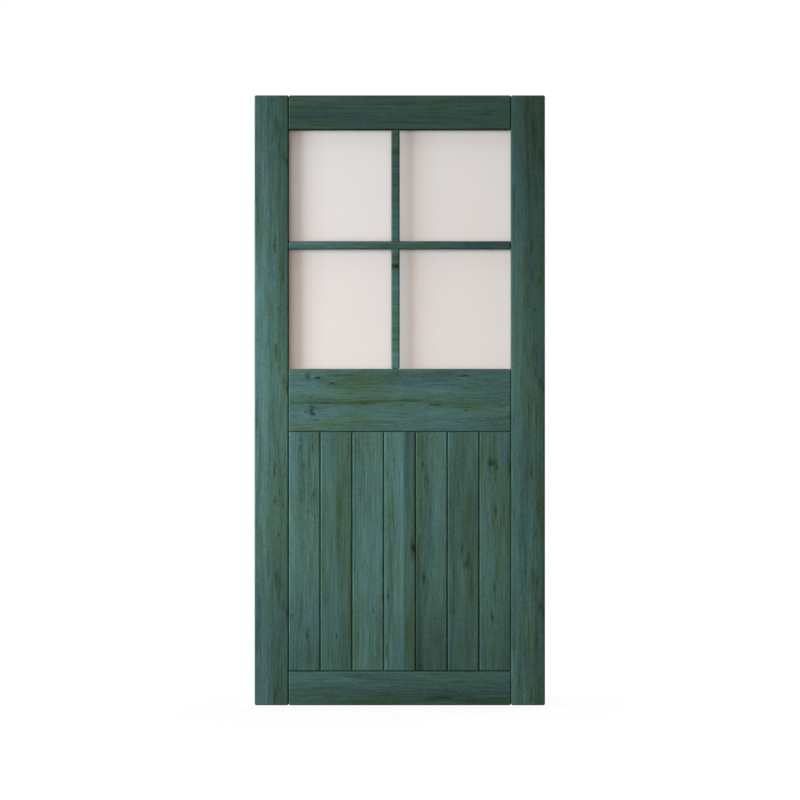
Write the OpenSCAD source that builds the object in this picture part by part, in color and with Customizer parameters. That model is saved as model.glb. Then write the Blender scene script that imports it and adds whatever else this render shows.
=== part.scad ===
// Sliding barn door leaf: a mortised frame with a frosted pane behind a cross of thin bars above its
// middle rail and a field of tongue-and-groove planks below it.
// Millimetres. +Z is up, -Y is the front, and the origin is the middle of the bottom edge.

/* [Leaf] */
// Width of the leaf
leaf_w = 1016; // [900:1:1200]
// Height of the leaf
leaf_h = 2134; // [1900:1:2400]
// Thickness of the stiles and rails
leaf_t = 44; // [40:0.5:56]
// Width of the 45 degree easing on every board's edges
edge_ease = 4; // [2:0.25:5]

/* [Frame] */
// Width of each stile
stile_w = 119; // [100:1:140]
// Height of the top rail
top_rail_h = 120; // [100:1:150]
// Height of the middle rail
mid_rail_h = 220; // [180:1:260]
// Height of the bottom rail
bottom_rail_h = 120; // [100:1:160]
// Height of the middle rail's lower edge above the bottom of the leaf
mid_rail_z = 957; // [850:1:1050]

/* [Mortise and tenon joints] */
// Thickness of the rails' tenons
tenon_t = 14; // [10:0.5:16]
// Length of the rails' tenons
tenon_len = 60; // [40:1:80]
// Shoulder left above and below each rail's tenons
tenon_shoulder = 25; // [20:1:32]
// Space between the middle rail's two tenons
tenon_space = 40; // [30:1:60]
// Clearance on each cheek of a tenon
joint_fit = 0.1; // [0.05:0.05:0.2]
// Glue space at the end of each mortise
mortise_gap = 2; // [1:0.5:4]

/* [Bars] */
// Width of the bars that cross in front of the glass
bar_w = 29; // [25:0.5:40]
// Thickness of the bars
bar_t = 9; // [8:0.5:14]
// Offset of the upright bar's centre line from the middle of the leaf
bar_x = -15; // [-40:1:40]
// Offset of the cross bar's centre line from the middle of the glazed field
bar_z = 13.5; // [-40:0.5:40]
// Thickness of the bars' stub tenons
stub_t = 3.5; // [3:0.25:4]
// Length of the bars' stub tenons
stub_len = 9; // [6:0.5:12]
// Shoulder left on each side of a stub tenon
stub_shoulder = 6; // [5:0.5:8]

/* [Glazing] */
// Width of the rabbet that takes the glass and its beads
rabbet_w = 10; // [8:0.5:14]
// Thickness of the glass
glass_t = 5; // [4:0.5:6]
// Clearance between the glass and the rabbet's wall, filled by setting blocks below
glass_gap = 3; // [2:0.25:4]
// Width of the seamed arris on the glass
glass_seam = 0.5; // [0.25:0.25:1]
// Thickness of the glazing tape
tape_t = 1.5; // [1:0.25:2]
// Distance that the tape stays back from the sight line
tape_inset = 1; // [0.5:0.25:2]
// Depth of the glazing beads, from the glass to the back of the leaf
bead_d = 7; // [6:0.5:9]
// Width of the splay on each bead's back corner
bead_splay = 4; // [2:0.5:5]
// Clearance around each bead
bead_fit = 0.15; // [0.05:0.05:0.3]
// Length of a setting block
block_len = 60; // [40:1:100]

/* [Planks] */
// Number of planks in the field
plank_count = 7; // [5:1:9]
// Thickness of a plank
plank_t = 22; // [20:0.5:28]
// Gap at the face between neighbouring planks
plank_gap = 1; // [0.5:0.1:2]
// Thickness of the planks' tongues
tongue_t = 7; // [5:0.5:8]
// Length of the planks' tongues
tongue_len = 9; // [7:0.5:11]
// Clearance on each cheek of a tongue
tongue_fit = 0.2; // [0.1:0.05:0.4]
// Room left for the wood to move past the end of each tongue
tongue_gap = 1.5; // [1:0.25:3]

/* [Floor guide] */
// Width of the groove in the bottom edge
guide_w = 10; // [8:0.5:12]
// Depth of the groove in the bottom edge
guide_d = 16; // [12:0.5:18]

/* [Hidden] */
// Colours of the finished surfaces
stain = "#4a7069";
frosted = "#dcd7d2";
grey_foam = "#8b8b86";
black_rubber = "#2b2b2b";

// Overlap that carries a cut clear of the face it starts from
past = 1;

// Front and back planes of the leaf, with the planes of the bars and the glazing between them
front_y = -leaf_t / 2;
bar_half_y = front_y + bar_t / 2;
bar_back_y = front_y + bar_t;
back_y = leaf_t / 2;
glass_back_y = back_y - bead_d;
glass_front_y = glass_back_y - glass_t;
lip_y = glass_front_y - tape_t;

// Edges of the frame's openings, and the cross bar's centre line
open_x = leaf_w / 2 - stile_w;
mid_top_z = mid_rail_z + mid_rail_h;
top_rail_z = leaf_h - top_rail_h;
cross_z = (mid_top_z + top_rail_z) / 2 + bar_z;

// Tenon spans of the three rails, as [lower z, upper z]
top_tenons = [[top_rail_z + tenon_shoulder, leaf_h - tenon_shoulder]];
mid_middle_z = mid_rail_z + mid_rail_h / 2;
mid_tenons = [
    [mid_rail_z + tenon_shoulder, mid_middle_z - tenon_space / 2],
    [mid_middle_z + tenon_space / 2, mid_top_z - tenon_shoulder],
];
bottom_tenons = [[tenon_shoulder, bottom_rail_h - tenon_shoulder]];

// Stub tenons lie behind the bars' easing
stub_y = (front_y + edge_ease + bar_back_y) / 2;
stub_w = bar_w - 2 * stub_shoulder;

bead_sides = ["bottom", "left", "top", "right"];
quarter_turn = 90;

// Plank field: the tongues run in the middle of the planks' thickness
plank_pitch = 2 * open_x / plank_count;
plank_w = plank_pitch - plank_gap;
tongue_y = front_y + plank_t / 2;
groove_t = tongue_t + 2 * tongue_fit;
groove_d = tongue_len + tongue_gap;

plank_names = [for (i = [1:plank_count]) str("plank_", i)];
bead_names = [for (side = bead_sides) str("bead_", side)];

// Box between two opposite corners
module block(low, high) {
    translate(low) cube(high - low);
}

// Rectangle with its corners cut at 45 degrees
module eased_outline(w, h, ease) {
    polygon([
        [ease, 0], [w - ease, 0], [w, ease], [w, h - ease],
        [w - ease, h], [ease, h], [0, h - ease], [0, ease],
    ]);
}

// Board between two opposite corners, with all of its edges eased
module eased_board(low, high, ease = edge_ease) {
    size = high - low;
    translate(low)
        intersection() {
            linear_extrude(size.z) eased_outline(size.x, size.y, ease);
            translate([0, size.y, 0]) rotate([90, 0, 0])
                linear_extrude(size.y) eased_outline(size.x, size.z, ease);
            rotate([90, 0, 90]) linear_extrude(size.x) eased_outline(size.y, size.z, ease);
        }
}

// Block over the glazed field, grown all round by the given width
module glazed_block(grow, y0, y1) {
    block([-open_x - grow, y0, mid_top_z - grow], [open_x + grow, y1, top_rail_z + grow]);
}

// Rabbet cut from the back round the glazed field, in the stiles and rails
module glass_rabbet() {
    glazed_block(rabbet_w, lip_y, back_y + past);
}

// Groove round the plank field that takes the planks' tongues
module plank_groove() {
    block(
        [-open_x - groove_d, tongue_y - groove_t / 2, bottom_rail_h - groove_d],
        [open_x + groove_d, tongue_y + groove_t / 2, mid_rail_z + groove_d]
    );
}

// Groove along the bottom edge that runs over a floor guide
module guide_groove() {
    block([-leaf_w / 2 - past, -guide_w / 2, -past], [leaf_w / 2 + past, guide_w / 2, guide_d]);
}

// Tenons across both ends of a rail, grown by a fit and a gap to cut their mortises
module rail_tenons(spans, fit = 0, gap = 0) {
    reach = open_x + tenon_len + gap;
    for (span = spans)
        block([-reach, -tenon_t / 2 - fit, span[0] - fit], [reach, tenon_t / 2 + fit, span[1] + fit]);
}

// Stub tenons at both ends of the cross bar, or the mortises that take them
module cross_bar_stubs(fit = 0, gap = 0) {
    reach = open_x + stub_len + gap;
    block(
        [-reach, stub_y - stub_t / 2 - fit, cross_z - stub_w / 2 - fit],
        [reach, stub_y + stub_t / 2 + fit, cross_z + stub_w / 2 + fit]
    );
}

// Stub tenons at both ends of the upright bar, or the mortises that take them
module upright_bar_stubs(fit = 0, gap = 0) {
    reach = stub_len + gap;
    block(
        [bar_x - stub_w / 2 - fit, stub_y - stub_t / 2 - fit, mid_top_z - reach],
        [bar_x + stub_w / 2 + fit, stub_y + stub_t / 2 + fit, top_rail_z + reach]
    );
}

// Left stile, with mortises, a glass rabbet above, a plank groove below and the guide groove
module left_stile() {
    color(stain)
        difference() {
            eased_board([-leaf_w / 2, front_y, 0], [-open_x, back_y, leaf_h]);
            for (spans = [top_tenons, mid_tenons, bottom_tenons])
                rail_tenons(spans, joint_fit, mortise_gap);
            cross_bar_stubs(joint_fit, mortise_gap);
            glass_rabbet();
            plank_groove();
            guide_groove();
        }
}

// Right stile, the left one's mirror image
module right_stile() {
    mirror([1, 0, 0]) left_stile();
}

// Rail between the stiles, with tenons, before its edges are worked
module rail_blank(z0, z1, spans) {
    eased_board([-open_x, front_y, z0], [open_x, back_y, z1]);
    rail_tenons(spans);
}

// Top rail, rabbeted below for the glass
module top_rail() {
    color(stain)
        difference() {
            rail_blank(top_rail_z, leaf_h, top_tenons);
            glass_rabbet();
            upright_bar_stubs(joint_fit, mortise_gap);
        }
}

// Middle rail, rabbeted above for the glass and grooved below for the planks
module middle_rail() {
    color(stain)
        difference() {
            rail_blank(mid_rail_z, mid_top_z, mid_tenons);
            glass_rabbet();
            upright_bar_stubs(joint_fit, mortise_gap);
            plank_groove();
        }
}

// Bottom rail, grooved above for the planks and below for the floor guide
module bottom_rail() {
    color(stain)
        difference() {
            rail_blank(0, bottom_rail_h, bottom_tenons);
            plank_groove();
            guide_groove();
        }
}

// Bar before its joints are cut: eased in front and at its ends, square behind
module bar_blank(x0, x1, z0, z1) {
    intersection() {
        eased_board([x0, front_y, z0], [x1, back_y, z1]);
        block([x0, front_y, z0], [x1, bar_back_y, z1]);
    }
}

// Upright bar before its joints are cut
module upright_blank() {
    bar_blank(bar_x - bar_w / 2, bar_x + bar_w / 2, mid_top_z, top_rail_z);
}

// Face of the upright bar where the cross bar runs through it, so that the easing stops at the crossing
module crossing_face() {
    intersection() {
        upright_blank();
        block(
            [bar_x - bar_w / 2, front_y, cross_z - bar_w / 2],
            [bar_x + bar_w / 2, bar_half_y, cross_z + bar_w / 2]
        );
    }
}

// Cross bar, from stile to stile: its front half runs through the crossing
module cross_bar() {
    color(stain)
        difference() {
            union() {
                bar_blank(-open_x, open_x, cross_z - bar_w / 2, cross_z + bar_w / 2);
                crossing_face();
                cross_bar_stubs();
            }
            block(
                [bar_x - bar_w / 2 - joint_fit, bar_half_y, cross_z - bar_w / 2 - past],
                [bar_x + bar_w / 2 + joint_fit, bar_back_y + past, cross_z + bar_w / 2 + past]
            );
        }
}

// Upright bar, from rail to rail: its back half runs through the crossing
module upright_bar() {
    color(stain)
        difference() {
            union() {
                upright_blank();
                upright_bar_stubs();
            }
            block(
                [bar_x - bar_w / 2 - past, front_y - past, cross_z - bar_w / 2 - joint_fit],
                [bar_x + bar_w / 2 + past, bar_half_y, cross_z + bar_w / 2 + joint_fit]
            );
        }
}

// Plank: tongue on the left, groove on the right, and a tongue along both ends.
// The last plank has a tongue on the right instead, for the right stile's groove.
// The planks stand tight between the rails, so that no light shows past their ends.
module plank(i) {
    last = i == plank_count;
    x0 = -open_x + (i - 1) * plank_pitch + plank_gap / 2;
    x1 = x0 + plank_w;
    z0 = bottom_rail_h;
    z1 = mid_rail_z;
    reach = last ? tongue_len : 0;
    color(stain)
        difference() {
            union() {
                eased_board([x0, front_y, z0], [x1, front_y + plank_t, z1]);
                block(
                    [x0 - tongue_len, tongue_y - tongue_t / 2, z0 - tongue_len],
                    [x1 + reach, tongue_y + tongue_t / 2, z1 + tongue_len]
                );
            }
            if (!last)
                block(
                    [x1 - groove_d, tongue_y - groove_t / 2, z0 - tongue_len - past],
                    [x1 + past, tongue_y + groove_t / 2, z1 + tongue_len + past]
                );
        }
}

// Frosted pane with seamed edges, set in the rabbet with a gap all round
module pane() {
    cover = rabbet_w - glass_gap;
    color(frosted)
        eased_board(
            [-open_x - cover, glass_front_y, mid_top_z - cover],
            [open_x + cover, glass_back_y, top_rail_z + cover],
            glass_seam
        );
}

// Glazing tape between the lip and the glass, just back from the sight line
module tape() {
    color(grey_foam)
        difference() {
            glazed_block(rabbet_w - glass_gap - glass_seam, lip_y, glass_front_y);
            glazed_block(tape_inset, lip_y - past, glass_front_y + past);
        }
}

// Two rubber blocks under the pane, at the quarter points of its width
module setting_blocks() {
    low_z = mid_top_z - rabbet_w;
    color(black_rubber)
        for (middle = [-open_x / 2, open_x / 2])
            block(
                [middle - block_len / 2, glass_front_y, low_z],
                [middle + block_len / 2, glass_back_y, low_z + glass_gap]
            );
}

// Glazing bead along +X: its outer side on the rabbet's wall, mitred at both ends and splayed behind
module bead_length(run) {
    w = rabbet_w - bead_fit;
    intersection() {
        rotate([90, 0, 90]) linear_extrude(run)
            polygon([[0, 0], [bead_d, 0], [bead_d, w - bead_splay], [bead_d - bead_splay, w], [0, w]]);
        translate([0, bead_d, 0]) rotate([90, 0, 0]) linear_extrude(bead_d)
            polygon([[0, 0], [run, 0], [run - w, w], [w, w]]);
    }
}

// Bead on one side of the pane, turned a quarter at a time from the bottom one
module bead(side) {
    inset = rabbet_w - bead_fit;
    right = open_x + inset;
    low = mid_top_z - inset;
    high = top_rail_z + inset;
    turn = search([side], bead_sides)[0];
    starts = [[-right, low], [-right, high], [right, high], [right, low]];
    run = turn % 2 == 0 ? 2 * right : high - low;
    color(stain)
        translate([starts[turn][0], glass_back_y, starts[turn][1]])
            rotate([0, turn * quarter_turn, 0]) bead_length(run);
}

left_stile();
right_stile();
top_rail();
middle_rail();
bottom_rail();
cross_bar();
upright_bar();
for (i = [1:plank_count])
    plank(i);
pane();
tape();
setting_blocks();
for (side = bead_sides)
    bead(side);
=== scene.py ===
import math

import bmesh
import bpy
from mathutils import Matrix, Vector


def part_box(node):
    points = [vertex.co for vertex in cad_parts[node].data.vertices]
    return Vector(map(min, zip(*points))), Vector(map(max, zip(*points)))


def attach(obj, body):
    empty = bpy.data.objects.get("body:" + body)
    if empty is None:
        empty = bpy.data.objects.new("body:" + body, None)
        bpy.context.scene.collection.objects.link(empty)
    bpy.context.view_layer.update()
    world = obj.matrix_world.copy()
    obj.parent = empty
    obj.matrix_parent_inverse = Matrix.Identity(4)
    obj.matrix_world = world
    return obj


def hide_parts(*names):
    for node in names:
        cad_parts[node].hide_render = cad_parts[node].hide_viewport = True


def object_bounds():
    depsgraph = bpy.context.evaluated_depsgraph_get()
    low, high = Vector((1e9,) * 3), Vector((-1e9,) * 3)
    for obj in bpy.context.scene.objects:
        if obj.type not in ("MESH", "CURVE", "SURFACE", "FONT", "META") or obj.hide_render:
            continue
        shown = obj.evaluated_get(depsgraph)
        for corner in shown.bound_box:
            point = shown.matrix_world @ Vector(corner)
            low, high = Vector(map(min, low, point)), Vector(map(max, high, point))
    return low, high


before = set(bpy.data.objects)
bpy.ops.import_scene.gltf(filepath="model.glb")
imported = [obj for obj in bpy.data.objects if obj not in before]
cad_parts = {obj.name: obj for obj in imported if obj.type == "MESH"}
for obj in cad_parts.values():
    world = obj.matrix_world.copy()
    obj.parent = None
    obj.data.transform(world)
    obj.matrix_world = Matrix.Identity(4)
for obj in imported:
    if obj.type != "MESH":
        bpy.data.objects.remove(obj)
cad_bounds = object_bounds()

# Stiles: the two full-height uprights, knotty softwood planed on four sides and mortised for the rails.
# Every arris was eased with a plane and sanded over, and the wood was stained teal, then sealed in satin.
# Both were sawn from one log, one above the other, so their figure nearly matches.
MM = 0.001
ARRIS_RADIUS = 1.3 * MM
ARRIS_STEPS = 3
EASED_ANGLES = (math.radians(30), math.radians(65))
SAME_POINT = 0.01 * MM
SAME_PLANE = math.radians(0.5)
SMOOTH_ANGLE = math.radians(40)


def sanded_copy(node, shortest_arris=0.0):
    """Copy of a board with its eased edges sanded round, which stands for the board."""
    board = bpy.data.objects.new("sanded_" + node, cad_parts[node].data.copy())
    bpy.context.scene.collection.objects.link(board)
    bpy.ops.object.select_all(action="DESELECT")
    board.select_set(True)
    bpy.context.view_layer.objects.active = board
    bpy.ops.object.mode_set(mode="EDIT")
    bpy.ops.mesh.select_all(action="SELECT")
    bpy.ops.mesh.remove_doubles(threshold=SAME_POINT)
    bpy.ops.mesh.dissolve_limited(angle_limit=SAME_PLANE)
    bpy.ops.mesh.select_mode(type="EDGE")
    bpy.ops.mesh.select_all(action="DESELECT")
    shape = bmesh.from_edit_mesh(board.data)
    for edge in shape.edges:
        turn = abs(edge.calc_face_angle_signed(0.0))
        eased = EASED_ANGLES[0] < turn < EASED_ANGLES[1]
        edge.select_set(eased and edge.calc_length() > shortest_arris)
    bmesh.update_edit_mesh(board.data)
    bpy.ops.mesh.bevel(offset=ARRIS_RADIUS, segments=ARRIS_STEPS, affect="EDGES", clamp_overlap=False)
    bpy.ops.object.mode_set(mode="OBJECT")
    bpy.ops.object.shade_smooth_by_angle(angle=SMOOTH_ANGLE)
    bpy.ops.object.modifier_add(type="WEIGHTED_NORMAL")
    bpy.ops.object.modifier_apply(modifier=board.modifiers[-1].name)
    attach(board, "root")
    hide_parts(node)
    return board


def paint(red, green, blue):
    """Colour of a paint chip as a shader takes it."""
    return tuple(((c / 255 + 0.055) / 1.055) ** 2.4 for c in (red, green, blue)) + (1.0,)


def place(tree, kind, inputs=None, **settings):
    """New shader node with its settings made and its sockets set or linked; gives back its first output."""
    made = tree.nodes.new(kind)
    for name, value in settings.items():
        setattr(made, name, value)
    for name, value in (inputs or {}).items():
        if isinstance(value, bpy.types.NodeSocket):
            tree.links.new(value, made.inputs[name])
        else:
            made.inputs[name].default_value = value
    return made.outputs[0]


def work_out(tree, operation, *values):
    """Number worked out from others."""
    return place(tree, "ShaderNodeMath", dict(enumerate(values)), operation=operation)


def shift_by(tree, operation, *values):
    """Vector worked out from others."""
    return place(tree, "ShaderNodeVectorMath", dict(enumerate(values)), operation=operation)


def blend(tree, share, first, second):
    """Colour part of the way from the first to the second."""
    mix = tree.nodes.new("ShaderNodeMix")
    mix.data_type = "RGBA"
    for socket, value in ((mix.inputs[0], share), (mix.inputs[6], first), (mix.inputs[7], second)):
        if isinstance(value, bpy.types.NodeSocket):
            tree.links.new(value, socket)
        else:
            socket.default_value = value
    return mix.outputs[2]


def between(tree, value, low, high, at_low=0.0, at_high=1.0):
    """Number that runs from at_low to at_high while a value runs from low to high, and stops at both."""
    return place(
        tree, "ShaderNodeMapRange",
        {"Value": value, "From Min": low, "From Max": high, "To Min": at_low, "To Max": at_high},
    )


# A streak begins where its noise passes the first number, and is full at the second
EVERYWHERE = (0.3, 0.7)


def streaks(tree, grain, per_metre, detail=2.0, part=EVERYWHERE):
    """Soft streaks from 0 to 1, with so many to a metre across the board, through it and along it."""
    stretched = shift_by(tree, "MULTIPLY", grain, per_metre)
    noise = place(tree, "ShaderNodeTexNoise", {"Vector": stretched, "Scale": 1.0, "Detail": detail})
    return between(tree, noise, *part)


def new_finish(name):
    """New material, with its node tree, its shader and the place on the piece that its patterns read."""
    material = bpy.data.materials.new(name)
    material.use_nodes = True
    tree = material.node_tree
    here = tree.nodes.new("ShaderNodeTexCoord").outputs["Object"]
    return material, tree, tree.nodes["Principled BSDF"], here


def roughen(tree, shader, pattern, least, more):
    """Roughness that follows a pattern, from the least to so much more."""
    tree.links.new(work_out(tree, "MULTIPLY_ADD", pattern, more, least), shader.inputs["Roughness"])


def emboss(tree, shader, height, strength, deepest):
    """Relief too fine to be modelled."""
    relief = place(tree, "ShaderNodeBump", {"Strength": strength, "Distance": deepest, "Height": height})
    tree.links.new(relief, shader.inputs["Normal"])


def coat(piece, material):
    """Gives a piece one finish all over."""
    piece.data.materials.clear()
    piece.data.materials.append(material)


# Half depth of a mark in metres, so deep that it comes out on both faces of a board
THROUGH = 1000


def mark(tree, grain, across, along, half_width, half_length):
    """Soft long spot on a board, 1 in its middle and 0 at its edge, which runs through the thickness."""
    fitted = place(
        tree, "ShaderNodeMapping",
        {"Vector": grain, "Location": (across, 0, along), "Scale": (half_width, THROUGH, half_length)},
        vector_type="TEXTURE",
    )
    return place(tree, "ShaderNodeTexGradient", {"Vector": fitted}, gradient_type="SPHERICAL")


def wavered(tree, grain, start, waves, reach, detail, roughness):
    """Grain pushed to and fro by soft noise, with so many waves to a metre that reach so far."""
    stretched = shift_by(tree, "MULTIPLY", shift_by(tree, "ADD", grain, start), waves)
    noise = place(
        tree, "ShaderNodeTexNoise",
        {"Vector": stretched, "Scale": 1.0, "Detail": detail, "Roughness": roughness},
    ).node
    push = shift_by(tree, "SUBTRACT", noise.outputs["Color"], (0.5, 0.5, 0.5))
    return shift_by(tree, "ADD", grain, shift_by(tree, "MULTIPLY", push, reach))


# How much longer than wide a knot is, and its eddy, core and wisp in times its radius
KNOT_LENGTH = 1.7
KNOT_EDDY = 4.0
KNOT_CORE = 1.5
KNOT_WISP = 8.0
# How far a knot parts the grain, how hard its edge is, and how dark it and its wisps are
KNOT_PUSH = 0.75
KNOT_EDGE = 1.7
KNOT_DARK = 0.44
WISP_DARK = 0.7


def parted(tree, drawn, bent, knots, origin):
    """Grain parted round a board's knots, how dark the knots are, and the wisps that trail from them."""
    dark = 0.0
    wisps = 0.0
    for aside, height, radius, strength in knots:
        at = (origin + aside * MM, height * MM)
        size = radius * MM
        eddy = mark(tree, drawn, *at, KNOT_EDDY * size, KNOT_EDDY * KNOT_LENGTH * size)
        away = shift_by(tree, "SUBTRACT", drawn, (at[0], 0, at[1]))
        away = shift_by(tree, "MULTIPLY", away, (KNOT_PUSH, 0, 0))
        push = place(tree, "ShaderNodeVectorMath", {0: away, "Scale": eddy}, operation="SCALE")
        bent = shift_by(tree, "SUBTRACT", bent, push)
        core = mark(tree, drawn, *at, KNOT_CORE * size, KNOT_CORE * KNOT_LENGTH * size)
        core = work_out(tree, "MINIMUM", work_out(tree, "MULTIPLY", core, KNOT_EDGE), 1.0)
        dark = work_out(tree, "MULTIPLY_ADD", core, KNOT_DARK * strength, dark)
        wisp = mark(tree, drawn, *at, KNOT_CORE * size, KNOT_WISP * size)
        wisps = work_out(tree, "MULTIPLY_ADD", wisp, WISP_DARK * strength, wisps)
    return bent, dark, wisps


HEART_EDGE = 5 * MM


def lightness_aside(tree, at, sides, lean, heart):
    """How much lighter or darker a board is from side to side, with a step where its heartwood begins."""
    leaning = between(tree, at, *sides, 0.5 * lean, -0.5 * lean)
    if heart:
        begins = sides[0] + heart[0] * MM
        heartwood = between(tree, at, begins - HEART_EDGE, begins + HEART_EDGE, 0.0, -heart[1])
        leaning = work_out(tree, "ADD", leaning, heartwood)
    return leaning


OLIVE = paint(74, 102, 75)
FERN = paint(75, 106, 89)
TEAL = paint(75, 109, 102)
SLATE = paint(76, 111, 111)
KNOT = paint(26, 38, 30)


def stain_colour(tree, hue):
    """Colour of the stain, from olive at 0 to slate blue at 1."""
    ramp = tree.nodes.new("ShaderNodeValToRGB")
    stops = ramp.color_ramp.elements
    stops[0].color = OLIVE
    stops[1].color = SLATE
    for position, chip in ((0.33, FERN), (0.66, TEAL)):
        stops.new(position).color = chip
    tree.links.new(hue, ramp.inputs["Fac"])
    return ramp.outputs["Color"]


def stain_depth_and_light_falloff(tree, axes, box, depth):
    """How light a board comes out along it, at its low or left end, its middle and its other end: partly how
    the stain took, partly painted light and shade where the light falls off.
    """
    size = box[1] - box[0]
    axis, index = ("Z", 2) if size.z > size.x else ("X", 0)
    part_way = between(tree, axes[axis], box[0][index], box[1][index])
    ramp = tree.nodes.new("ShaderNodeValToRGB")
    ramp.color_ramp.interpolation = "EASE"
    ramp.color_ramp.elements.new(0.5)
    for stop, light in zip(ramp.color_ramp.elements, depth):
        stop.color = (light, light, light, 1)
    tree.links.new(part_way, ramp.inputs["Fac"])
    return ramp.outputs["Color"]


# How light the stain is in the joints, where pooled stain and painted shade darken them, and on end grain,
# and how far from an edge that fades
POOLED_STAIN_AND_SHADE = 0.18
POOLED_SHADE_EDGE = (0.8 * MM, 2.2 * MM)
END_GRAIN = 0.55
END_EDGE = (0.2 * MM, 1.5 * MM)


def joint_shade_and_end_grain(tree, axes, box, run, sill):
    """How light the stain is in the joints, where stain pooled and painted shade darkens them, and where end
    grain drank it.
    The painted shade lies on the right and lower sides, away from the light; left sides and a sill's upper
    side face the light and stay clear.
    No pooled stain or painted shade lies on the outside of the leaf."""
    from_joint = 1.0
    from_end = 1.0
    for axis, index, side in (("X", 0, 0), ("X", 0, 1), ("Z", 2, 0), ("Z", 2, 1)):
        away = work_out(tree, "ABSOLUTE", work_out(tree, "SUBTRACT", axes[axis], box[side][index]))
        if axis == run:
            from_end = work_out(tree, "MINIMUM", from_end, away)
        # Painted shade: a joint side that faces away from the light, right or lower, is darkened; one that
        # faces the light is not
        faces_light = (axis, side) == ("X", 0) or sill and (axis, side) == ("Z", 1)
        if not faces_light and abs(box[side][index] - cad_bounds[side][index]) > SAME_POINT:
            from_joint = work_out(tree, "MINIMUM", from_joint, away)
    return (
        between(tree, from_joint, *POOLED_SHADE_EDGE, POOLED_STAIN_AND_SHADE, 1.0),
        between(tree, from_end, *END_EDGE, END_GRAIN, 1.0),
    )


# Streaks to a metre across, through and along a board, their detail and the part of the board they take
SPARSE = (0.56, 0.74)
RARE = (0.58, 0.74)
GRAIN = {
    "cloud": (23, 15, 1.3, 3.0, EVERYWHERE),
    "broad": (16, 11, 2.0, 3.0, EVERYWHERE),
    "band": (60, 40, 3.5, 3.0, EVERYWHERE),
    "line": (160, 105, 5, 2.0, EVERYWHERE),
    "fibre": (330, 210, 6, 2.0, EVERYWHERE),
    "mottle": (50, 33, 20, 3.0, EVERYWHERE),
    "dusky": (190, 120, 8, 3.0, SPARSE),
    "fleck": (190, 130, 95, 3.0, EVERYWHERE),
    "tinge": (125, 85, 60, 3.0, EVERYWHERE),
    "pores": (400, 250, 60, 1.0, RARE),
}
LONG_STRANDS = ("line", "fibre", "dusky")

# How much each kind of streak turns the stain blue, lightens it or darkens it
BLUE_SHARES = {"broad": 0.54, "band": 0.22, "mottle": 0.10, "tinge": 0.36, "dusky": -0.15}
LIGHT_SHARES = {"fibre": 0.41, "line": 0.22, "band": 0.06, "mottle": 0.06, "fleck": 0.25, "cloud": 0.40}
DARK_SHARES = {"dusky": 0.24, "pores": 0.18}

# These keep a board's mean colour near its tone, and its mean lightness near its depth
BLUE_LEVEL = 0.58
LIGHT_LEVEL = 0.33


def add_up(tree, start, layers, shares):
    """Start with its share of each named layer added."""
    total = start
    for name, share in shares.items():
        total = work_out(tree, "MULTIPLY_ADD", layers[name], share, total)
    return total


# How far apart two boards lie in the log, how their grain wanders, and how their figure takes the stain
BOARDS_APART = Vector((0.37, 0.11, 3.1))
WANDER_WAVES = (7, 7, 1.6)
WANDER_REACH = (12 * MM, 10 * MM)
WANDER_MORE = 8 * MM
RAGGED_WAVES = (90, 60, 22)
RAGGED_REACH = (11 * MM, 0, 50 * MM)
FIGURE_TINT = 1.25
LEAN_TINT = 0.55
BREAK_LEAST = 0.2
BREAK_MORE = 1.6
PORE_SINK = -0.6


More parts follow.
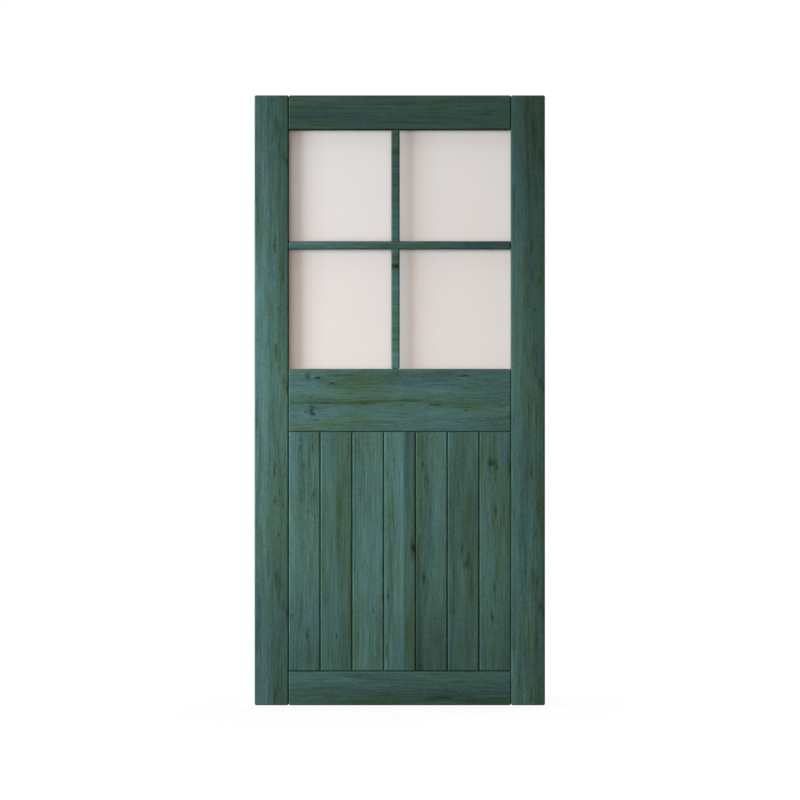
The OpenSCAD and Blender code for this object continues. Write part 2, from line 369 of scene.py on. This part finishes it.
def stained(
    name, box, along, seed, depth, tone, lean=0.0, heart=None, figure=(), knots=(), repeat=None, short=1.0,
    sill=False,
):
    """Teal stain on knotty softwood, by the grain's direction along a board.
    depth is how light the board comes out at its low end, middle and high end: partly how the stain took,
    partly painted light and shade where the light falls off.
    tone runs from 0, olive, to 1, slate blue.
    lean is how much darker and more olive the board gets from its left or lower side to the other.
    heart is (distance in mm from that side, how much darker): the line where the heartwood begins.
    figure holds (across, along, half width, half length, olive, dark) in mm: negative olive is blue.
    knots holds (across, along, radius, dark) in mm.
    repeat is (start, length): the figure comes again along the board after that length.
    A figure that repeats is measured from the board's own left side, any other in the leaf's frame.
    short is how much shorter than usual the long strands are.
    sill is whether the upper side faces the light, so that no painted shade lies on it."""
    material, tree, shader, here = new_finish("stain_" + name)
    axes = place(tree, "ShaderNodeSeparateXYZ", {0: here}).node.outputs
    across, run, index = ("X", "Z", 0) if along == "Z" else ("Z", "X", 2)
    sides = (box[0][index], box[1][index])
    grain = place(tree, "ShaderNodeCombineXYZ", {"X": axes[across], "Y": axes["Y"], "Z": axes[run]})
    own_place = BOARDS_APART * seed

    # The grain wanders along the board, and the streaks of its figure have ragged edges
    waves = (WANDER_WAVES[0], WANDER_WAVES[1], WANDER_WAVES[2] * short)
    reach = (WANDER_REACH[0] + WANDER_MORE * short, WANDER_REACH[1], 0)
    bent = wavered(tree, grain, own_place, waves, reach, detail=2.0, roughness=0.5)
    drawn = wavered(tree, grain, own_place, RAGGED_WAVES, RAGGED_REACH, detail=5.0, roughness=0.75)
    origin = 0.0
    if repeat:
        origin = sides[0]
        start, length = (value * MM for value in repeat)
        in_length = work_out(tree, "FLOORED_MODULO", work_out(tree, "SUBTRACT", axes[run], start), length)
        turns = work_out(tree, "SUBTRACT", in_length, axes[run])
        drawn = shift_by(tree, "ADD", drawn, place(tree, "ShaderNodeCombineXYZ", {"Z": turns}))
    bent, dark, wisps = parted(tree, drawn, bent, knots, origin)
    own = shift_by(tree, "ADD", bent, own_place)

    # Streaks of every width, from the clouds of the stain to the pores
    layers = {}
    for kind, (wide, deep, long, detail, part) in GRAIN.items():
        closer = short if kind in LONG_STRANDS else 1.0
        layers[kind] = streaks(tree, own, (wide, deep, long * closer), detail, part)

    # The colour of each spot, with the figure's olive and blue streaks
    leaning = lightness_aside(tree, axes[across], sides, lean, heart)
    hue = add_up(tree, tone - BLUE_LEVEL, layers, BLUE_SHARES)
    hue = work_out(tree, "MULTIPLY_ADD", leaning, LEAN_TINT, hue)
    hue = work_out(tree, "SUBTRACT", hue, wisps)
    figured = wisps
    for aside, height, half_width, half_length, olive, darkness in figure:
        spot = mark(tree, drawn, origin + aside * MM, height * MM, half_width * MM, half_length * MM)
        hue = work_out(tree, "MULTIPLY_ADD", spot, -FIGURE_TINT * olive, hue)
        if darkness:
            figured = work_out(tree, "MULTIPLY_ADD", spot, darkness, figured)

    # A streak of the figure breaks up along its fibres, and knots and dark streaks take more stain
    broken = work_out(tree, "MULTIPLY_ADD", layers["fibre"], BREAK_MORE, BREAK_LEAST)
    dark = work_out(tree, "MULTIPLY_ADD", figured, broken, dark)
    dark = add_up(tree, dark, layers, DARK_SHARES)
    stain = blend(tree, dark, stain_colour(tree, hue), KNOT)

    light = add_up(tree, LIGHT_LEVEL, layers, LIGHT_SHARES)
    shade = work_out(tree, "MULTIPLY", stain_depth_and_light_falloff(tree, axes, box, depth), light)
    shade = work_out(tree, "MULTIPLY", shade, work_out(tree, "ADD", leaning, 1.0))
    for edge in joint_shade_and_end_grain(tree, axes, box, run, sill):
        shade = work_out(tree, "MULTIPLY", shade, edge)
    stain = place(tree, "ShaderNodeVectorMath", {0: stain, "Scale": shade}, operation="SCALE")
    tree.links.new(stain, shader.inputs["Base Color"])

    # The satin sealer is thin, so fibres and pores still show in it
    roughen(tree, shader, layers["fibre"], least=0.46, more=0.12)
    shader.inputs["Specular IOR Level"].default_value = 0.05
    height = work_out(tree, "MULTIPLY_ADD", layers["pores"], PORE_SINK, layers["fibre"])
    emboss(tree, shader, height, strength=0.22, deepest=0.5 * MM)
    return material


def finish_board(node, shortest_arris=0.0, **stain):
    """Sands a board and stains it."""
    coat(sanded_copy(node, shortest_arris), stained(node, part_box(node), **stain))


STILE_FIGURE = [
    (85, 600, 5, 22, 0.4, 0.5), (78, 660, 16, 50, 0.4, 0.25), (62, 626, 4, 25, 0.2, 0.35),
    (90, 645, 4, 35, 0.2, 0.45), (76, 679, 6, 25, 0.5, 0.15), (100, 593, 9, 18, -0.3, 0),
    (103, 565, 12, 30, 0.35, 0.35), (90, 544, 5, 12, -0.35, 0), (62, 450, 3, 90, 0.35, 0.25),
    (89, 440, 8, 60, 0.35, 0.25), (8, 430, 7, 60, 0.35, 0.3), (70, 245, 6, 28, 0.4, 0.6),
    (79, 264, 5, 12, -0.4, 0), (78, 185, 5, 35, -0.35, 0), (88, 175, 3, 22, 0.15, 0.55),
    (91, 110, 3, 45, 0.4, 0.25), (84, 26, 6, 12, 0.2, 0.45), (22, 510, 14, 200, -0.3, 0),
    (20, 130, 14, 120, -0.2, 0), (50, 340, 10, 70, -0.3, 0), (49, 700, 10, 40, -0.1, 0.25),
    (43, 60, 9, 55, 0, 0.2), (100, 200, 14, 170, 0.3, 0.12),
]
STILE_KNOTS = [(114, 542, 4, 0.6), (73, 270, 3, 0.5), (70, 146, 3, 0.35), (100, 130, 3, 0.4)]
STILE_REPEAT = (-219, 788)
# Their depth is partly painted light and shade: darker towards the ends, and darkest on the right stile's
# upper end, where the light falls off
for stile, depth, tone, lean, heart in (
    ("left_stile", (0.65, 0.965, 0.60), 0.71, 0.25, (44, 0.12)),
    ("right_stile", (0.72, 0.71, 0.42), 0.58, 0.32, (47, 0.12)),
):
    finish_board(
        stile, along="Z", seed=1, depth=depth, tone=tone, lean=lean, heart=heart, figure=STILE_FIGURE,
        knots=STILE_KNOTS, repeat=STILE_REPEAT, short=1.2,
    )

# Rails: three boards tenoned between the stiles, with the grain across the leaf.
# The middle one was cut next to the pith, so a dark line with knots runs along it.
# It is the sill of the window too, and its upper side faces the light, so no painted shade lies on it.
# The rails' depth is partly painted light and shade: the top rail darker, and each rail darker towards its
# right end, where the light falls off
finish_board(
    "top_rail", along="X", seed=3, depth=(0.42, 0.41, 0.405), tone=0.55,
    figure=[
        (2078, -287, 4, 40, 0.2, 0.25), (2070, -170, 5, 60, 0.4, 0.25), (2085, -80, 5, 60, 0.3, 0.25),
        (2100, -75, 6, 50, 0.3, 0.2), (2030, -292, 6, 30, 0.5, 0), (2119, -283, 8, 60, -0.4, 0),
        (2098, -5, 8, 50, -0.3, 0.2), (2062, -115, 10, 60, -0.2, 0.12), (2104, 25, 5, 60, 0.2, 0.25),
        (2086, 105, 7, 70, 0.5, 0.2), (2063, 102, 12, 50, -0.25, 0.15), (2111, 145, 4, 25, 0, 0.2),
        (2076, 165, 10, 50, -0.35, 0), (2097, 208, 10, 12, -0.1, 0.2), (2079, 320, 4, 70, 0.45, 0.1),
        (2026, 252, 14, 60, -0.5, 0), (2052, 355, 12, 50, 0.35, 0.05),
    ],
    knots=[(2069, 298, 4, 0.5)],
)
finish_board(
    "middle_rail", along="X", seed=4, depth=(0.89, 0.785, 0.66), tone=0.60, short=2.0, sill=True,
    figure=[
        (1123, -328, 50, 80, -0.65, 0), (1118, -150, 45, 95, 0.25, 0), (1003, -155, 45, 90, 0.35, 0),
        (1128, 90, 50, 200, -0.65, 0), (1125, 325, 45, 90, -0.35, 0.12), (1010, -330, 35, 50, -0.5, 0),
        (1060, -150, 18, 260, 0.35, 0.06), (1050, 250, 18, 150, 0.3, 0.05), (1003, 200, 40, 110, -0.35, 0),
        (1058, -290, 5, 130, 0.3, 0.75), (1063, -91, 5, 45, 0.4, 0.3), (1036, -95, 6, 40, 0.3, 0.1),
        (1102, -78, 6, 30, 0.4, 0.1), (1145, -289, 6, 22, 0.2, 1.2), (1127, -232, 6, 16, 0.2, 1.0),
        (1116, -236, 6, 28, 0.4, 0.1), (1149, -323, 18, 10, 0.3, 0.6), (1030, -307, 28, 14, 0, 0.9),
        (1028, -328, 14, 8, 0, 0.45), (1078, -310, 9, 12, -0.1, 0.5), (999, -291, 5, 14, 0, 0.55),
        (1155, -213, 3, 60, 0.1, 0.55), (981, -230, 6, 50, 0.4, 0.1), (989, -36, 4, 35, 0.3, 0.35),
        (1066, 30, 5, 65, 0.35, 0.5), (1085, 141, 5, 35, 0.4, 0.1), (1059, 169, 4, 20, 0.2, 0.35),
        (1042, 221, 4, 42, 0.45, 0.45), (1153, 226, 5, 24, 0.05, 1.0), (1137, 310, 8, 35, 0.3, 0.25),
        (1046, 358, 4, 18, 0.4, 0.45), (1064, 333, 8, 40, 0.35, 0.2), (994, 50, 3, 45, 0.2, 0.45),
        (992, 208, 3, 30, 0.1, 0.35), (1050, 266, 5, 25, -0.4, 0), (989, 314, 5, 25, -0.35, 0),
    ],
    knots=[(1058, -126, 7, 0.55), (1052, 132, 5, 0.45), (1052, 114, 4, 0.35), (1032, 235, 4, 0.4)],
)
finish_board(
    "bottom_rail", along="X", seed=5, depth=(0.62, 0.57, 0.525), tone=0.55, lean=-0.3, short=1.3,
    figure=[
        (101, -135, 10, 80, 0.45, 0.12), (92, -280, 4, 95, 0.3, 0.2), (74, -120, 12, 280, -0.2, 0),
        (49, -213, 8, 40, -0.4, 0), (46, -153, 8, 40, -0.4, 0), (30, -244, 6, 40, 0.4, 0.15),
        (29, -341, 6, 30, 0.4, 0.1), (12, -150, 8, 250, 0.2, 0.25), (35, -30, 16, 90, 0.1, 0.2),
        (77, 80, 10, 90, -0.25, 0), (109, 102, 6, 60, 0.3, 0.12), (98, 141, 6, 25, 0.4, 0.1),
        (28, 141, 12, 50, 0.3, 0.3), (26, 172, 9, 30, 0.2, 0.25), (18, 102, 10, 50, 0.3, 0.25),
        (52, 303, 16, 60, -0.2, 0.12), (14, 260, 10, 130, 0.2, 0.22),
    ],
    knots=[(84, 210, 4, 0.4)],
)

# Glazing bars: two thin laths, flush with the front and clear of the glass, halved where they cross.
# Stub tenons hold their ends in the frame. The upright one was sawn across a board, so its figure is banded.
# The bars' depth is partly painted light and shade: the cross bar darker to the right, the upright bar darker
# upwards, where the light falls off
finish_board(
    "cross_bar", along="X", seed=6, depth=(0.88, 0.65, 0.405), tone=0.80, short=2.0,
    figure=[
        (1604, -330, 5, 60, 0.4, 0), (1594, -300, 4, 50, -0.4, 0.1), (1599, -180, 4, 70, -0.5, 0.2),
        (1612, -100, 5, 90, 0.4, 0), (1600, -60, 4, 60, -0.5, 0.25), (1603, 60, 4, 70, -0.3, 0.35),
        (1613, 130, 4, 60, 0.2, 0.1), (1600, 170, 5, 60, -0.2, 0.5), (1608, 250, 4, 50, 0.3, 0.35),
        (1599, 300, 4, 50, -0.2, 0.4), (1612, 340, 4, 40, 0.1, 0.3),
    ],
)
UPRIGHT_AT = -15
BAND_REACH = 40
UPRIGHT_BANDS = [
    (1935, 10, 0.4, 0.1), (1910, 8, -0.3, 0), (1885, 4, 0.1, 0.4), (1819, 5, 0.5, 0.25),
    (1800, 9, 0.3, 0.05), (1740, 8, 0, 0.25), (1712, 14, -0.3, 0.3), (1690, 5, -0.6, 0.2),
    (1670, 8, 0.4, 0.1), (1568, 12, 0.3, 0.35), (1537, 12, 0, 1.1), (1506, 8, -0.5, 0.2),
    (1450, 20, -0.2, 0), (1376, 4, 0.4, 0), (1311, 14, 0.2, 0.35), (1280, 10, 0.1, 0.35),
    (1243, 4, 0.5, 0.2),
]
finish_board(
    "upright_bar", along="X", seed=7, depth=(0.92, 0.67, 0.43), tone=0.60,
    figure=[
        (height, UPRIGHT_AT, half_width, BAND_REACH, olive, dark)
        for height, half_width, olive, dark in UPRIGHT_BANDS
    ],
)

# Planks: seven tongue-and-groove boards that float in the frame's grooves.
# Each was sawn from another log, so each has a figure of its own and takes the stain in its own way.
# The fourth holds the line where sapwood meets heartwood.
# The planks' depth is partly painted light and shade, darker towards their lower ends, where the light falls
# off
PLANK_SEED = 10
PLANKS = [
    dict(
        depth=(0.575, 0.92, 0.90), tone=0.73, lean=0.12,
        figure=[
            (-302, 889, 6, 75, 0.5, 0.12), (-311, 490, 7, 120, 0.5, 0.14), (-315, 177, 12, 60, 0.5, 0.2),
            (-374, 840, 16, 110, -0.45, 0), (-335, 915, 10, 40, -0.4, 0), (-350, 610, 16, 70, -0.35, 0),
            (-331, 290, 12, 60, -0.3, 0), (-366, 220, 14, 50, -0.3, 0), (-300, 318, 3, 60, 0.2, 0.3),
            (-299, 762, 6, 18, -0.1, 0.25), (-318, 590, 3, 30, 0.3, 0.25),
        ],
        knots=[
            (-349, 900, 3, 0.6), (-349, 934, 2, 0.4), (-337, 842, 3, 0.45), (-305, 905, 3, 0.5),
            (-301, 738, 4, 0.7), (-322, 683, 3, 0.45), (-323, 245, 4.5, 0.75), (-378, 315, 3, 0.5),
        ],
    ),
    dict(
        depth=(0.65, 0.745, 0.775), tone=0.54, lean=0.18,
        figure=[
            (-209, 690, 18, 130, 0.4, 0.08), (-219, 730, 4, 60, 0.3, 0.18), (-202, 580, 5, 20, 0.2, 0.2),
            (-228, 440, 10, 45, -0.25, 0.15), (-202, 420, 6, 45, 0.5, 0.12), (-262, 310, 16, 70, -0.4, 0),
            (-196, 350, 10, 40, -0.35, 0), (-218, 350, 3, 45, 0.3, 0.15), (-211, 195, 7, 80, 0.5, 0.14),
            (-231, 160, 9, 50, 0.45, 0.1), (-251, 400, 8, 45, 0.3, 0.05),
        ],
        knots=[(-221, 241, 3.5, 0.65)],
    ),
    dict(
        depth=(0.775, 0.92, 0.95), tone=0.63, lean=-0.14,
        figure=[
            (-154, 902, 7, 65, 0.3, 0.22), (-138, 750, 9, 50, 0.45, 0.08), (-84, 815, 10, 70, -0.45, 0),
            (-98, 627, 3, 35, 0.1, 0.14), (-128, 340, 18, 90, 0.4, 0.08), (-90, 350, 14, 100, -0.45, 0),
            (-84, 441, 3, 30, 0.1, 0.18), (-142, 220, 10, 60, 0.3, 0.06),
        ],
        knots=[(-92, 332, 3, 0.6), (-81, 300, 2.5, 0.4), (-60, 375, 3, 0.5)],
    ),
    dict(
        depth=(0.80, 0.97, 1.03), tone=0.65, lean=0.06, heart=(77, 0.33),
        figure=[
            (-38, 720, 9, 80, 0.4, 0.05), (-33, 670, 9, 50, 0.4, 0), (-45, 621, 3, 20, 0.1, 0.4),
            (-49, 587, 4, 25, 0.15, 0.5), (-5, 750, 22, 160, -0.35, 0), (-7, 620, 12, 60, -0.4, 0),
            (27, 938, 8, 50, 0.5, 0.05), (25, 798, 5, 45, 0.4, 0.12), (-39, 270, 9, 60, 0.4, 0.05),
            (-48, 172, 4, 25, 0.2, 0.45), (-5, 353, 16, 80, -0.4, 0), (-7, 189, 14, 60, -0.45, 0),
            (25, 238, 8, 90, 0.5, 0.2), (40, 260, 14, 140, 0.3, 0.2),
        ],
        knots=[(-43, 807, 3, 0.4), (46, 550, 8, 0.8), (-41, 385, 4, 0.55), (-44, 203, 4, 0.45)],
    ),
    dict(
        depth=(0.475, 0.785, 0.795), tone=0.55, lean=-0.34,
        figure=[
            (72, 905, 12, 70, 0.4, 0.15), (99, 718, 6, 30, 0.35, 0.1), (71, 675, 10, 60, 0.35, 0.18),
            (102, 627, 4, 40, 0.3, 0.14), (65, 542, 10, 70, 0.3, 0.3), (135, 650, 24, 220, -0.35, 0),
            (65, 470, 9, 60, 0.3, 0.3), (94, 395, 9, 40, 0.35, 0.2), (88, 367, 8, 30, 0.3, 0.2),
            (126, 295, 4, 50, 0.05, 0.2), (120, 238, 9, 45, -0.15, 0.2), (70, 213, 8, 60, 0.45, 0.2),
            (147, 420, 10, 110, -0.4, 0), (70, 138, 14, 30, 0.2, 0.3),
        ],
        knots=[
            (80, 841, 3.5, 0.6), (97, 787, 5, 0.55), (88, 770, 3, 0.4), (98, 756, 3, 0.45),
            (108, 680, 3, 0.35), (85, 445, 6, 0.5), (98, 433, 4, 0.35),
        ],
    ),
    dict(
        depth=(0.535, 0.69, 0.755), tone=0.51, lean=0.15,
        figure=[
            (191, 833, 4, 45, 0.15, 0.28), (183, 836, 6, 30, 0.35, 0.08), (242, 705, 16, 100, 0.4, 0.2),
            (254, 600, 4, 50, 0.3, 0.18), (171, 670, 6, 80, 0.4, 0), (177, 919, 12, 60, -0.35, 0),
            (218, 542, 8, 36, 0, 0.55), (241, 505, 9, 46, 0.05, 0.8), (229, 494, 14, 18, 0, 0.6),
            (252, 407, 14, 50, 0.25, 0.22), (197, 270, 8, 110, -0.35, 0), (254, 270, 10, 80, 0.4, 0.05),
        ],
        knots=[(188, 335, 3, 0.45), (243, 190, 3, 0.4)],
    ),
    dict(
        depth=(0.535, 0.77, 0.71), tone=0.54,
        figure=[
            (331, 872, 5, 120, 0.5, 0.3), (324, 848, 24, 18, 0.15, 0.6), (336, 805, 6, 45, 0.5, 0.18),
            (335, 661, 3, 25, 0.4, 0.25), (354, 635, 4, 25, 0.2, 0.3), (333, 609, 3, 15, 0.2, 0.3),
            (326, 638, 8, 30, 0.45, 0.05), (362, 895, 20, 80, -0.7, 0), (306, 933, 8, 40, -0.35, 0),
            (366, 584, 14, 70, -0.4, 0), (375, 700, 8, 90, 0.4, 0), (341, 470, 10, 60, 0.4, 0.1),
            (335, 367, 4, 25, 0.3, 0.14), (325, 265, 4, 25, 0.3, 0.15), (325, 185, 12, 70, 0.35, 0.14),
            (290, 270, 10, 70, 0.25, 0.14), (363, 443, 10, 60, -0.4, 0), (363, 220, 10, 60, -0.35, 0),
        ],
        knots=[
            (315, 847, 4.5, 0.65), (339, 833, 4, 0.5), (383, 827, 4.5, 0.7), (379, 858, 3, 0.45),
            (335, 684, 5, 0.6), (331, 407, 5, 0.55), (323, 305, 5, 0.5),
        ],
    ),
]
for count, plank in enumerate(PLANKS, start=1):
    finish_board(f"plank_{count}", along="Z", seed=PLANK_SEED + count, short=1.2, **plank)

# Pane: one sheet of float glass, etched matt and milky white, with seamed edges; painted light makes it a
# little lighter low down.
# It stands on setting blocks in the frame's rabbet, against a ring of tape.
ETCHED_WHITE = (0.65, 0.632, 0.63, 1)
MILKY_AND_LIT_WHITE = (0.74, 0.69, 0.685, 1)
MIST_PER_METRE = (5, 5, 3)
FROST_PER_METRE = (1500, 1500, 1500)
PAINTED_LIGHT_LOW_DOWN = 0.8
MILKY_MIST = 0.2
etched, tree, shader, here = new_finish("etched_glass")
mist = streaks(tree, here, MIST_PER_METRE, detail=3.0)
axes = place(tree, "ShaderNodeSeparateXYZ", {0: here}).node.outputs
foot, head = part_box("pane")
# Painted light: the pane's colour is a little lighter towards its foot
lighter_low_down = between(tree, axes["Z"], foot.z, head.z, PAINTED_LIGHT_LOW_DOWN, 0.0)
milky_and_lit = work_out(tree, "MULTIPLY_ADD", mist, MILKY_MIST, lighter_low_down)
tree.links.new(blend(tree, milky_and_lit, ETCHED_WHITE, MILKY_AND_LIT_WHITE), shader.inputs["Base Color"])
roughen(tree, shader, mist, least=0.55, more=0.08)
frost = streaks(tree, here, FROST_PER_METRE, detail=1.0)
emboss(tree, shader, frost, strength=0.1, deepest=0.1 * MM)
shader.inputs["Specular IOR Level"].default_value = 0.3
coat(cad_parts["pane"], etched)

# Tape and setting blocks: a ring of grey closed-cell foam between the lip and the glass,
# and two blocks of black rubber that carry the pane's weight.
for node, dull, bright, cells_per_metre in (
    ("tape", (0.22, 0.22, 0.21, 1), (0.30, 0.30, 0.28, 1), 900),
    ("setting_blocks", (0.018, 0.018, 0.018, 1), (0.03, 0.03, 0.03, 1), 400),
):
    rubber, tree, shader, here = new_finish(node + "_rubber")
    cells = streaks(tree, here, (cells_per_metre, cells_per_metre, cells_per_metre))
    tree.links.new(blend(tree, cells, dull, bright), shader.inputs["Base Color"])
    roughen(tree, shader, cells, least=0.75, more=0.15)
    emboss(tree, shader, cells, strength=0.3, deepest=0.2 * MM)
    coat(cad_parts[node], rubber)

# Glazing beads: four splayed strips of the same wood, mitred at the corners, that hold the glass from behind.
# Thin pins through each bead fix it to the frame, punched below its face and stopped with tinted filler.
MITRE = 50 * MM
BEAD_DEPTH = (0.7, 0.7, 0.7)
for side, along, seed in (("bottom", "X", 26), ("left", "Z", 24), ("top", "X", 23), ("right", "Z", 25)):
    finish_board("bead_" + side, shortest_arris=MITRE, along=along, seed=seed, depth=BEAD_DEPTH, tone=0.55)

PIN_RADIUS = 1.2 * MM
PIN_SIDES = 16
PIN_RIM = 0.4 * MM
PIN_RIM_STEPS = 2
PIN_DEPTH = 0.6 * MM
PIN_PROUD = 0.1 * MM
PIN_INSET = 4 * MM
PIN_FROM_END = 60 * MM
PINS_TO_A_BEAD = 8
pin_places = []
for side in ("bottom", "left", "top", "right"):
    low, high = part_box("bead_" + side)
    for count in range(PINS_TO_A_BEAD):
        share = count / (PINS_TO_A_BEAD - 1)
        at = low.lerp(high, share)
        at.x += PIN_FROM_END * (1 - 2 * share)
        at.z += PIN_FROM_END * (1 - 2 * share)
        if side == "bottom":
            at.z = low.z + PIN_INSET
        elif side == "top":
            at.z = high.z - PIN_INSET
        elif side == "left":
            at.x = low.x + PIN_INSET
        else:
            at.x = high.x - PIN_INSET
        at.y = high.y + PIN_PROUD - PIN_DEPTH / 2
        pin_places.append(at)

# One pin's head with the filler over it, its rim smeared round by the knife, and a copy for each other place
bpy.ops.object.select_all(action="DESELECT")
bpy.ops.mesh.primitive_cylinder_add(vertices=PIN_SIDES, radius=PIN_RADIUS, depth=PIN_DEPTH)
stopping = bpy.context.active_object
stopping.name = "bead_pins"
bpy.ops.object.mode_set(mode="EDIT")
bpy.ops.mesh.select_mode(type="FACE")
bpy.ops.mesh.select_all(action="DESELECT")
shape = bmesh.from_edit_mesh(stopping.data)
for face in shape.faces:
    face.select_set(face.normal.z > 0.5)
bmesh.update_edit_mesh(stopping.data)
bpy.ops.mesh.bevel(offset=PIN_RIM, segments=PIN_RIM_STEPS, affect="EDGES")
bpy.ops.object.mode_set(mode="OBJECT")
bpy.ops.object.shade_smooth_by_angle(angle=SMOOTH_ANGLE)
stopping.rotation_euler.x = math.radians(-90)
bpy.ops.object.transform_apply(location=True, rotation=True, scale=True)
stopping.location = pin_places[0]
for at in pin_places[1:]:
    pin = bpy.data.objects.new("pin", stopping.data.copy())
    pin.location = at
    bpy.context.scene.collection.objects.link(pin)
    pin.select_set(True)
bpy.ops.object.join()
bpy.ops.object.transform_apply(location=True, rotation=True, scale=True)

FILLER_DARK = paint(44, 60, 50)
FILLER_PALE = paint(56, 76, 64)
GRIT_PER_METRE = (2500, 2500, 2500)
filler, tree, shader, here = new_finish("tinted_filler")
grit = streaks(tree, here, GRIT_PER_METRE)
tree.links.new(blend(tree, grit, FILLER_DARK, FILLER_PALE), shader.inputs["Base Color"])
roughen(tree, shader, grit, least=0.6, more=0.2)
coat(stopping, filler)
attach(stopping, "root")

# Floor, light and camera: a seamless pale studio floor that keeps a soft shadow round the leaf's foot,
# four soft boxes, and a long lens straight in front of the leaf.
# The floor shows paler than it throws light back, so that the leaf isn't lit from below.
FLOOR_SIZE = 60
FLOOR_GAP = 12 * MM
DULL_GREY = (0.18, 0.176, 0.172, 1)
PAPER = (0.85, 0.85, 0.85, 1)
WHITE = (1, 1, 1, 1)
# Under the leaf, this share of the floor that the eye sees is plain white, the rest paper with its shadow
WHITE_UNDER_LEAF = 0.92
SHADOW_REACH = 0.4


def seen_directly(tree):
    """1 where the camera sees a surface, also in gloss or through glass, and 0 where it only throws light."""
    paths = tree.nodes.new("ShaderNodeLightPath").outputs
    seen = work_out(tree, "MAXIMUM", paths["Is Camera Ray"], paths["Is Glossy Ray"])
    return work_out(tree, "MAXIMUM", seen, paths["Is Transmission Ray"])


bpy.ops.object.select_all(action="DESELECT")
bpy.ops.mesh.primitive_plane_add(size=FLOOR_SIZE, location=(0, 0, -FLOOR_GAP))
floor = bpy.context.active_object
floor.name = "studio_floor"
pale, tree, shader, here = new_finish("pale_floor")
tree.nodes.remove(shader)
matt = place(tree, "ShaderNodeBsdfDiffuse", {"Color": DULL_GREY})
paper = place(tree, "ShaderNodeBsdfDiffuse", {"Color": PAPER})
white = place(tree, "ShaderNodeEmission", {"Color": WHITE, "Strength": 1.0})
under = (cad_bounds[1].x, cad_bounds[1].y, 0)
outside = shift_by(tree, "SUBTRACT", shift_by(tree, "ABSOLUTE", here), under)
outside = shift_by(tree, "MAXIMUM", outside, (0, 0, 0))
reach = place(tree, "ShaderNodeVectorMath", {0: outside}, operation="LENGTH").node.outputs["Value"]
fade = between(tree, reach, 0.0, SHADOW_REACH, WHITE_UNDER_LEAF, 1.0)
shown = place(tree, "ShaderNodeMixShader", {0: fade, 1: paper, 2: white})
floor_shader = place(tree, "ShaderNodeMixShader", {0: seen_directly(tree), 1: matt, 2: shown})
tree.links.new(floor_shader, tree.nodes["Material Output"].inputs["Surface"])
coat(floor, pale)

WARM_DUSK = (0.20, 0.17, 0.145, 1)
world = bpy.data.worlds.new("studio")
bpy.context.scene.world = world
world.use_nodes = True
tree = world.node_tree
tree.links.new(blend(tree, seen_directly(tree), WARM_DUSK, WHITE), tree.nodes["Background"].inputs["Color"])


def soft_box(name, aside, above, distance, width, height, watts, colour):
    """Studio light that faces the middle of the leaf, so many degrees aside and above it."""
    lamp = bpy.data.lights.new(name, "AREA")
    lamp.shape = "RECTANGLE"
    lamp.size = width
    lamp.size_y = height
    lamp.energy = watts
    lamp.color = colour
    stand = bpy.data.objects.new(name, lamp)
    bpy.context.scene.collection.objects.link(stand)
    turn = math.radians(aside)
    rise = math.radians(above)
    middle = (cad_bounds[0] + cad_bounds[1]) / 2
    way = Vector((math.cos(rise) * math.sin(turn), -math.cos(rise) * math.cos(turn), math.sin(rise)))
    stand.location = middle + distance * way
    stand.rotation_euler = (-way).to_track_quat("-Z", "Y").to_euler()


COOL = (0.90, 1.0, 1.06)
soft_box("key_light", aside=-67, above=5, distance=6.5, width=2.8, height=3.0, watts=520, colour=COOL)
WARM = (1.135, 1.0, 0.865)
soft_box("front_light", aside=-14, above=11, distance=9.0, width=12.0, height=4.0, watts=340, colour=WARM)
SKY = (0.95, 1.0, 1.06)
soft_box("top_light", aside=-15, above=70, distance=6.0, width=4.0, height=3.0, watts=80, colour=SKY)
PLAIN = (1.0, 1.0, 1.0)
soft_box("back_light", aside=125, above=18, distance=8.0, width=6.0, height=4.0, watts=600, colour=PLAIN)

VIEW_DISTANCE = 7.0
FRAME_WIDTH = 2.797
SENSOR_WIDTH = 36
CAMERA_ASIDE = 0.7 * MM
CAMERA_HEIGHT = 1.068
front_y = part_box("left_stile")[0].y
lens_data = bpy.data.cameras.new("camera")
lens_data.sensor_width = SENSOR_WIDTH
lens_data.lens = SENSOR_WIDTH * VIEW_DISTANCE / FRAME_WIDTH
camera = bpy.data.objects.new("camera", lens_data)
bpy.context.scene.collection.objects.link(camera)
camera.location = (CAMERA_ASIDE, front_y - VIEW_DISTANCE, CAMERA_HEIGHT)
camera.rotation_euler = (math.radians(90), 0, 0)
bpy.context.scene.camera = camera
bpy.context.scene.view_settings.view_transform = "Standard"
